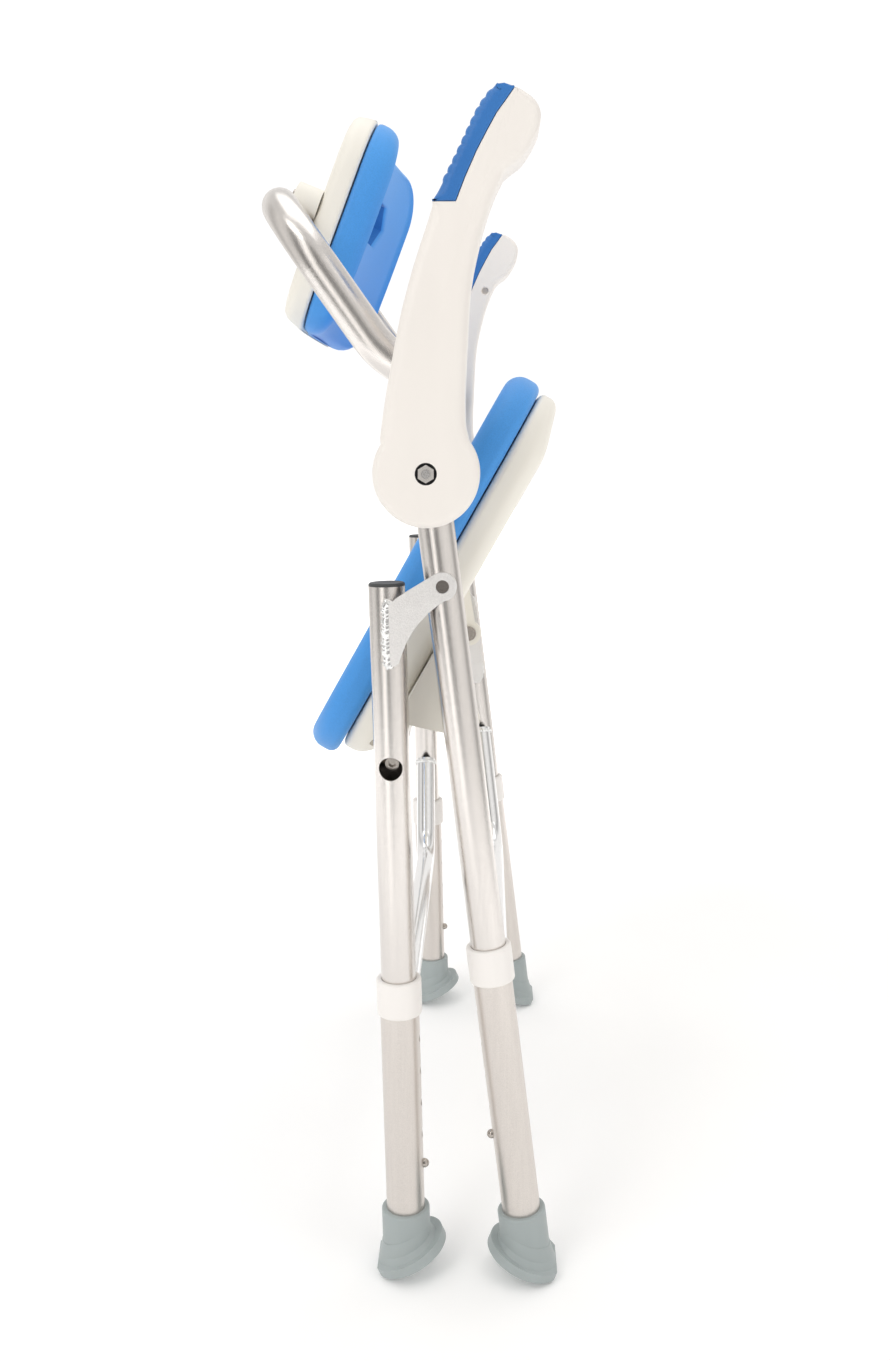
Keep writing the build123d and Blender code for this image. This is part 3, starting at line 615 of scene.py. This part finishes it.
# seat pad: moulded foam, dished in the middle, with a softly crowned rim
pad_out = rounded_rect(-85.0, 233.0, 200.0, 58.0, 0.0, 0.0, 5.0)
bm = moulded(pad_out, 7.0, 13.0, 65.8, 90.6, lambda q: -4.5 * smooth01(q * 1.6) + 0.6 * sin(pi * min(1, q * 2.2)), lambda q: 0.0,
             lambda a, y, p: seat_world(a, y, p), seg=9, inner=14)
seat_pad = link("seat_cushion", bm, MAT["foam"], 60)
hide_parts("seat_pad"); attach(seat_pad, "seat")


def shell_world(a, y, p):
    """Underside rises toward the front lip and the rear end."""
    lift = 7.0 * smooth01((a - 184.0) / 40.0) + 5.0 * smooth01((-62.0 - a) / 12.0)
    k = max(0.0, min(1.0, (64.9 - p) / 24.3))
    return seat_world(a, y, p + lift * k)


bm = moulded(rounded_rect(-75.0, 229.0, 197.0, 54.0, 0.0, 0.0, 5.0), 12.0, 6.0, 40.6, 64.9, lambda q: 0.0, lambda q: 0.0, shell_world, seg=8, inner=10)
seat_shell = link("seat_shell_moulding", bm, MAT["ivory"], 50)
pk = bmesh.new()
for a0, a1 in ((-58.0, 12.0), (17.0, 96.0), (101.0, 180.0)):
    for y0, y1 in ((-186.0, -148.0), (-86.0, -3.0), (3.0, 86.0), (148.0, 186.0)):
        ring = []
        for cx, cy, ang in ((a1 - 8, y1 - 8, 0), (a0 + 8, y1 - 8, 90), (a0 + 8, y0 + 8, 180), (a1 - 8, y0 + 8, 270)):
            ring += [(cx + 8 * cos(radians(ang + 18 * i)), cy + 8 * sin(radians(ang + 18 * i))) for i in range(6)]
        mid_a, mid_y = (a0 + a1) / 2, (y0 + y1) / 2
        levels = [(38.0, 1.03), (42.5, 1.0), (56.0, 0.97), (58.0, 0.93)]
        vs = [[pk.verts.new(seat_world(mid_a + (a - mid_a) * f, mid_y + (y - mid_y) * f, p)) for a, y in ring] for p, f in levels]
        for lo_, hi_ in zip(vs[:-1], vs[1:]):
            for i in range(len(ring)):
                pk.faces.new((lo_[i], lo_[(i + 1) % len(ring)], hi_[(i + 1) % len(ring)], hi_[i]))
        pk.faces.new(list(reversed(vs[0]))); pk.faces.new(vs[-1])
bmesh.ops.recalc_face_normals(pk, faces=pk.faces)
pm = bpy.data.meshes.new("pockets"); pk.to_mesh(pm); pk.free()
po = bpy.data.objects.new("pockets", pm); scene.collection.objects.link(po)
cut(seat_shell, po)
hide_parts("seat_shell"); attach(seat_shell, "seat")


# back panel
BA = radians(21.5)
BU = Vector((sin(BA), 0, cos(BA)))
BW = Vector((cos(BA), 0, -sin(BA)))
BTOP = Vector((P.x - 52.5 * MM, 0, P.z + 332.0 * MM))
BH = 164.0
BMID = BTOP - BU * (BH / 2 * MM)
HALF = 120.0
HEX = [(-58.0, 0.0), (-44.0, 17.0), (44.0, 17.0), (58.0, 0.0), (44.0, -17.0), (-44.0, -17.0)]


def bow(y, w_end, sag):
    return w_end - sag * (1 - (y / HALF) ** 2)


def ray_hit(poly, c, ang):
    """Where a ray from c at an angle leaves a convex polygon."""
    d = Vector((cos(ang), sin(ang)))
    best = None
    n = len(poly)
    for i in range(n):
        a, b = poly[i] - c, poly[(i + 1) % n] - c
        e = b - a
        den = d.x * e.y - d.y * e.x
        if abs(den) < 1e-12:
            continue
        t = (a.x * e.y - a.y * e.x) / den
        s = (a.x * d.y - a.y * d.x) / den
        if t > 0 and -1e-6 <= s <= 1 + 1e-6 and (best is None or t < best):
            best = t
    return c + d * best


def back_panel(half_w, height, corner, back_fn, front_fn, r_back, r_front, r_hole, n=180, across=12, seg=6):
    """Curved slab with a hexagonal hand-hold. Local (y, v): y across, v up from the panel's middle."""
    c = Vector((0.0, 27.0))
    rect = []
    for cx, cy, ang in ((half_w - corner, height / 2 - corner, 0), (-half_w + corner, height / 2 - corner, 90),
                        (-half_w + corner, -height / 2 + corner, 180), (half_w - corner, -height / 2 + corner, 270)):
        for i in range(13):
            t = radians(ang + 90.0 * i / 12)
            rect.append(Vector((cx + corner * cos(t), cy + corner * sin(t))))
    hexa = [Vector((x, y + 27.0)) for x, y in HEX]
    # angles: corners of the hexagon are hit exactly
    angs = sorted(set([2 * pi * i / n for i in range(n)] + [math.atan2(h.y - c.y, h.x - c.x) % (2 * pi) for h in hexa]))
    outer = [ray_hit(rect, c, a) for a in angs]
    inner = [ray_hit(hexa, c, a) for a in angs]
    m = len(angs)

    def wp(p, w):
        return BMID + BU * (p.y * MM) + BW * (w * MM) + Vector((0, p.x * MM, 0))

    def toward(o, i, d):
        v = i - o
        return o + v.normalized() * d

    rings = []
    # front face from the hole outwards, round the outer rim, back face inwards, round the hole
    for k in range(0, across + 1):
        q = k / across
        rings.append([wp(toward(i, o, r_hole).lerp(toward(o, i, r_front), q), front_fn(toward(i, o, r_hole).lerp(toward(o, i, r_front), q))) for i, o in zip(inner, outer)])
    for k in range(1, seg + 1):
        th = pi / 2 * k / seg
        rings.append([wp(toward(o, i, r_front * (1 - sin(th))), front_fn(o) - r_front * (1 - cos(th))) for i, o in zip(inner, outer)])
    for k in range(0, seg):
        th = pi / 2 * k / seg
        rings.append([wp(toward(o, i, r_back * (1 - cos(th))), back_fn(o) + r_back * (1 - sin(th))) for i, o in zip(inner, outer)])
    for k in range(0, across + 1):
        q = k / across
        rings.append([wp(toward(o, i, r_back).lerp(toward(i, o, r_hole), q), back_fn(toward(o, i, r_back).lerp(toward(i, o, r_hole), q))) for i, o in zip(inner, outer)])
    for k in range(1, seg + 1):
        th = pi / 2 * k / seg
        rings.append([wp(toward(i, o, r_hole * (1 - sin(th))), back_fn(i) + r_hole * (1 - cos(th))) for i, o in zip(inner, outer)])
    for k in range(0, seg):
        th = pi / 2 * k / seg
        rings.append([wp(toward(i, o, r_hole * (1 - cos(th))), front_fn(i) - r_hole * (1 - sin(th))) for i, o in zip(inner, outer)])
    bm = bmesh.new()
    vs = [[bm.verts.new(p) for p in r] for r in rings]
    for k in range(len(vs)):
        a, b = vs[k], vs[(k + 1) % len(vs)]
        for i in range(m):
            bm.faces.new((a[i], a[(i + 1) % m], b[(i + 1) % m], b[i]))
    return bm


def pad_front(p):
    v = p.y / (BH / 2)
    return bow(p.x, 25.0, 20.0) - 1.2 * v * v


def pad_back(p):
    return bow(p.x, 0.7, 6.0)


def shell_front(p):
    return bow(p.x, -0.2, 6.0)


def shell_back(p):
    # deeper at the ends than in the middle, blended
    t = smooth01((abs(p.x) - 86.0) / 14.0)
    return bow(p.x, -10.0, 6.0) - 8.0 * t


bm = back_panel(HALF - 0.5, BH - 1.0, 38.0, pad_back, pad_front, 4.0, 11.0, 2.5)
back_pad = link("back_cushion", bm, MAT["foam"], 50)
# painted shade: faces on the walls of the hexagonal hand-hold take the darker blue foam
back_pad.data.materials.append(MAT["foam_painted_shade"])
for q in back_pad.data.polygons:
    c_ = q.center - BMID
    yy, vv = c_.y / MM, c_.dot(BU) / MM - 27.0
    if abs(vv) < 17.15 and abs(yy) + abs(vv) * 14.0 / 17.0 < 58.2 and c_.dot(BW) / MM < pad_front(Vector((yy, vv + 27.0))) - 1.2:
        q.material_index = 1
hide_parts("back_pad"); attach(back_pad, "front_frame")
bm = back_panel(HALF, BH, 38.0, shell_back, shell_front, 9.0, 3.0, 1.2, across=26)
back_shell = link("back_shell_moulding", bm, MAT["ivory"], 50)
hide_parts("back_shell"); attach(back_shell, "front_frame")


# ------------------------------------------------------------------ welds
def weld_line(name, pts, r, pitch, body, replaces=None, flat=0.75):
    """Bead with overlapping ripples along a polyline of points (metres)."""
    path = []
    for a, b in zip(pts[:-1], pts[1:]):
        k = max(2, int((b - a).length / (pitch * MM / 7)))
        for i in range(k):
            path.append(a.lerp(b, i / k))
    path.append(pts[-1])
    rings = []
    n = 16
    L = 0.0
    for i, c in enumerate(path):
        d = (path[min(i + 1, len(path) - 1)] - path[max(i - 1, 0)]).normalized()
        up = Vector((0, 1, 0)) if abs(d.y) < 0.9 else Vector((1, 0, 0))
        s = d.cross(up).normalized(); u = s.cross(d).normalized()
        if i:
            L += (c - path[i - 1]).length
        ph = (L / (pitch * MM)) % 1.0
        env = min(1.0, min(i, len(path) - 1 - i) / 5.0 + 0.25)
        wob = 1.0 + 0.10 * sin(L * 900.0) + 0.07 * sin(L * 2300.0 + 1.0)
        rr = r * MM * env * wob * (0.80 + 0.22 * (1 - ph) ** 0.7)
        rings.append([c + (s * cos(2 * pi * j / n) + u * sin(2 * pi * j / n) * flat) * rr + d * (rr * 0.40 * (1 - abs(cos(2 * pi * j / n)))) for j in range(n)])
    ob = link(name, rings_mesh(rings), MAT["weld"], 70)
    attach(ob, body)
    return ob


def mm_point(x, y, z):
    return Vector((P.x + x * MM, y * MM, P.z + z * MM))


D1 = Vector((sin(radians(7.42)), 0, -cos(radians(7.42))))
N1 = Vector((cos(radians(7.42)), 0, sin(radians(7.42))))
D2 = Vector((sin(radians(1.585)), 0, -cos(radians(1.585))))
N2 = Vector((cos(radians(1.585)), 0, sin(radians(1.585))))


def front_pt(s, off, y):
    return P + (D1 * s + N1 * off) * MM + Vector((0, y * MM, 0))


def rear_pt(s, off, y):
    return P + Vector((-38.8 * MM, 0, 0)) + (D2 * s + N2 * off) * MM + Vector((0, y * MM, 0))


for side, sg in (("right", -1.0), ("left", 1.0)):
    yb = sg * 249.2
    pts = [mm_point(-34.6, yb, -9.2), mm_point(-37.4, yb, -13.5), mm_point(-37.4, yb, -22), mm_point(-37.6, yb, -34), mm_point(-37.0, yb, -46),
           mm_point(-36.2, yb, -53.5), mm_point(-33.4, yb, -56.5)]
    w1 = weld_line("bracket_bead_" + side, pts, 4.3, 3.6, "rear_frame", flat=0.62)
    if side == "right":
        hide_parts("bracket_welds")
    plate_y = sg * (235.0 - 12.7 + 1.3)
    for i, off in enumerate((-8.4, 8.4)):
        for j, (s0, s1) in enumerate(((64, 90), (116, 148))):
            w2 = weld_line("plate_bead_%s_%d%d" % (side, i, j), [front_pt(s0, off, plate_y), front_pt((s0 + s1) / 2, off, plate_y), front_pt(s1, off, plate_y)], 2.5, 3.2, "front_frame")
            if side == "right" and i == 0 and j == 0:
                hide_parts("seat_plate_welds")


def ring_weld(name, centre, axis, radius, r, body, a0=0.0, a1=360.0, ref=Vector((1, 0, 0))):
    """Ripple bead round a tube end."""
    axis = axis.normalized()
    s = (ref - axis * ref.dot(axis)).normalized(); u = axis.cross(s)
    k = 24
    pts = [centre + (s * cos(radians(a0 + (a1 - a0) * i / k)) + u * sin(radians(a0 + (a1 - a0) * i / k))) * radius * MM for i in range(k + 1)]
    return weld_line(name, pts, r, 3.2, body)


for side, sg in (("right", -1.0), ("left", 1.0)):
    for nm, fn, s0, s1, body in (("front", front_pt, 205.0, 322.0, "front_frame"), ("rear", rear_pt, 238.0, 330.0, "rear_frame")):
        a = fn(s0, 0, sg * 218.0); b = fn(s1, 0, sg * 172.0)
        d = (b - a).normalized()
        c = a + d * (4.0 * MM)
        ring_weld("%s_crossbar_bead_%s" % (nm, side), c, d, 9.9, 2.0, body, -150, 150, ref=Vector((0, -sg, 0)))
    # back tube on top of the front leg
    ring_weld("back_tube_bead_" + side, front_pt(-112.0, 0, sg * 235.0), D1, 13.0, 1.9, "front_frame", 0, 360)


# ------------------------------------------------------------------ camera, light, floor
cam_data = bpy.data.cameras.new("camera")
cam = bpy.data.objects.new("camera", cam_data)
scene.collection.objects.link(cam)
scene.camera = cam
pit, yaw, rol = radians(10.6089), radians(-1.7204), radians(0.3167)
fwd = Vector((sin(yaw) * cos(pit), cos(yaw) * cos(pit), -sin(pit)))
right = Vector((cos(yaw), -sin(yaw), 0.0))
up = right.cross(fwd)
r2 = right * cos(rol) + up * sin(rol)
u2 = up * cos(rol) - right * sin(rol)
loc = P + Vector((27.24 * MM, 0, 92.95 * MM))
loc.y = -1.0888
m = Matrix((r2, u2, -fwd)).transposed().to_4x4()
m.translation = loc
cam.matrix_world = m
cam_data.sensor_fit = "VERTICAL"
cam_data.sensor_height = 24.0
cam_data.lens = 1251.6 * 24.0 / 1361.0
cam_data.clip_start = 0.05


def stage_plane(name, size, mat, z=0.0):
    bm = bmesh.new()
    bmesh.ops.create_grid(bm, x_segments=4, y_segments=4, size=size)
    me = bpy.data.meshes.new(name); bm.to_mesh(me); bm.free()
    ob = bpy.data.objects.new(name, me); scene.collection.objects.link(ob)
    ob.location.z = z
    me.materials.append(mat)
    return ob


fm, nt, b = new_mat("floor_pale")
v = coords(nt)
c = ramp(nt, noise(nt, v, 3.0, 2.0), [(0.3, (0.93, 0.93, 0.93)), (0.7, (0.96, 0.96, 0.96))])
nt.links.new(c, b.inputs["Base Color"])
b.inputs["Roughness"].default_value = 0.85
b.inputs["Specular IOR Level"].default_value = 0.1
b.inputs["Emission Color"].default_value = (1.0, 1.0, 1.0, 1.0)
fx = node(nt, "ShaderNodeTexCoord")
fl = node(nt, "ShaderNodeVectorMath", operation="LENGTH")
nt.links.new(fx.outputs["Object"], fl.inputs[0])
fr = node(nt, "ShaderNodeMapRange", interpolation_type="SMOOTHSTEP")
fr.inputs["From Min"].default_value = 0.7; fr.inputs["From Max"].default_value = 1.7
fr.inputs["To Min"].default_value = 0.08; fr.inputs["To Max"].default_value = 0.80
nt.links.new(fl.outputs["Value"], fr.inputs["Value"])
nt.links.new(fr.outputs["Result"], b.inputs["Emission Strength"])
stage_plane("floor", 12.0, fm, -0.0005)

# light tent: a wall of pale and darker panels round the object, unseen by the camera, that gives the tubes their long streaks
tm = bpy.data.materials.new("tent_light")
tm.use_nodes = True
tn = tm.node_tree
tn.nodes.remove(tn.nodes["Principled BSDF"])
em = node(tn, "ShaderNodeEmission")
tn.links.new(em.outputs["Emission"], tn.nodes["Material Output"].inputs["Surface"])
tx = node(tn, "ShaderNodeTexCoord")
sx = node(tn, "ShaderNodeSeparateXYZ")
tn.links.new(tx.outputs["Object"], sx.inputs["Vector"])
neg = node(tn, "ShaderNodeMath", operation="MULTIPLY")
neg.inputs[1].default_value = -1.0
tn.links.new(sx.outputs["Y"], neg.inputs[0])
at2 = node(tn, "ShaderNodeMath", operation="ARCTAN2")
tn.links.new(sx.outputs["X"], at2.inputs[0]); tn.links.new(neg.outputs[0], at2.inputs[1])
mr = node(tn, "ShaderNodeMapRange")
mr.inputs["From Min"].default_value = -pi; mr.inputs["From Max"].default_value = pi
tn.links.new(at2.outputs[0], mr.inputs["Value"])
cr = node(tn, "ShaderNodeValToRGB")
els = cr.color_ramp.elements
PANELS = [(-180, 1.0), (-128, 0.95), (-108, 0.55), (-88, 0.90), (-66, 0.80), (-50, 0.20), (-38, 0.30), (-30, 1.5), (-18, 1.5), (-10, 0.28), (6, 0.30),
          (16, 0.80), (46, 0.98), (74, 0.85), (94, 0.42), (108, 0.60), (124, 1.05), (180, 1.0)]
while len(els) < len(PANELS):
    els.new(0.5)
for e, (d_, v_) in zip(els, PANELS):
    e.position = (d_ + 180) / 360
    e.color = (v_, v_ * 0.982, v_ * 0.962, 1)
tn.links.new(mr.outputs["Result"], cr.inputs["Fac"])
tn.links.new(cr.outputs["Color"], em.inputs["Color"])
em.inputs["Strength"].default_value = 1.0
bm = bmesh.new()
lo_r = [bm.verts.new((1.7 * sin(2 * pi * i / 96), -1.7 * cos(2 * pi * i / 96), 0.0)) for i in range(96)]
hi_r = [bm.verts.new((1.7 * sin(2 * pi * i / 96), -1.7 * cos(2 * pi * i / 96), 1.9)) for i in range(96)]
for i in range(96):
    bm.faces.new((lo_r[i], lo_r[(i + 1) % 96], hi_r[(i + 1) % 96], hi_r[i]))
tme = bpy.data.meshes.new("light_tent"); bm.to_mesh(tme); bm.free()
tent = bpy.data.objects.new("light_tent", tme)
scene.collection.objects.link(tent)
tme.materials.append(tm)
tent.visible_camera = False
tent.visible_shadow = False

world = bpy.data.worlds.new("studio")
scene.world = world
world.use_nodes = True
wn = world.node_tree
bg = wn.nodes["Background"]
lp = node(wn, "ShaderNodeLightPath")
mixw = node(wn, "ShaderNodeMix", data_type="RGBA")
wn.links.new(lp.outputs["Is Camera Ray"], mixw.inputs[0])
mixw.inputs[6].default_value = (0.80, 0.79, 0.78, 1)
mixw.inputs[7].default_value = (1.05, 1.05, 1.05, 1)
wn.links.new(mixw.outputs[2], bg.inputs["Color"])
bg.inputs["Strength"].default_value = 1.0


def area_light(name, loc, target, size, energy, color=(1, 1, 1), size_y=None):
    ld = bpy.data.lights.new(name, "AREA")
    ld.shape = "RECTANGLE"; ld.size = size; ld.size_y = size_y or size
    ld.energy = energy; ld.color = color
    ob = bpy.data.objects.new(name, ld); scene.collection.objects.link(ob)
    ob.location = loc
    ob.rotation_euler = (Vector(target) - Vector(loc)).to_track_quat("-Z", "Y").to_euler()
    return ob


area_light("key", (-1.3, -1.6, 1.9), (0, 0, 0.5), 1.2, 14, (1.0, 0.99, 0.97), 1.4)
area_light("fill", (1.5, -1.2, 1.2), (0, 0, 0.4), 1.2, 6, (1.0, 0.98, 0.96), 1.6)
area_light("top", (0.0, 0.2, 2.6), (0, 0, 0.4), 2.0, 12)
scene.view_settings.view_transform = "Standard"

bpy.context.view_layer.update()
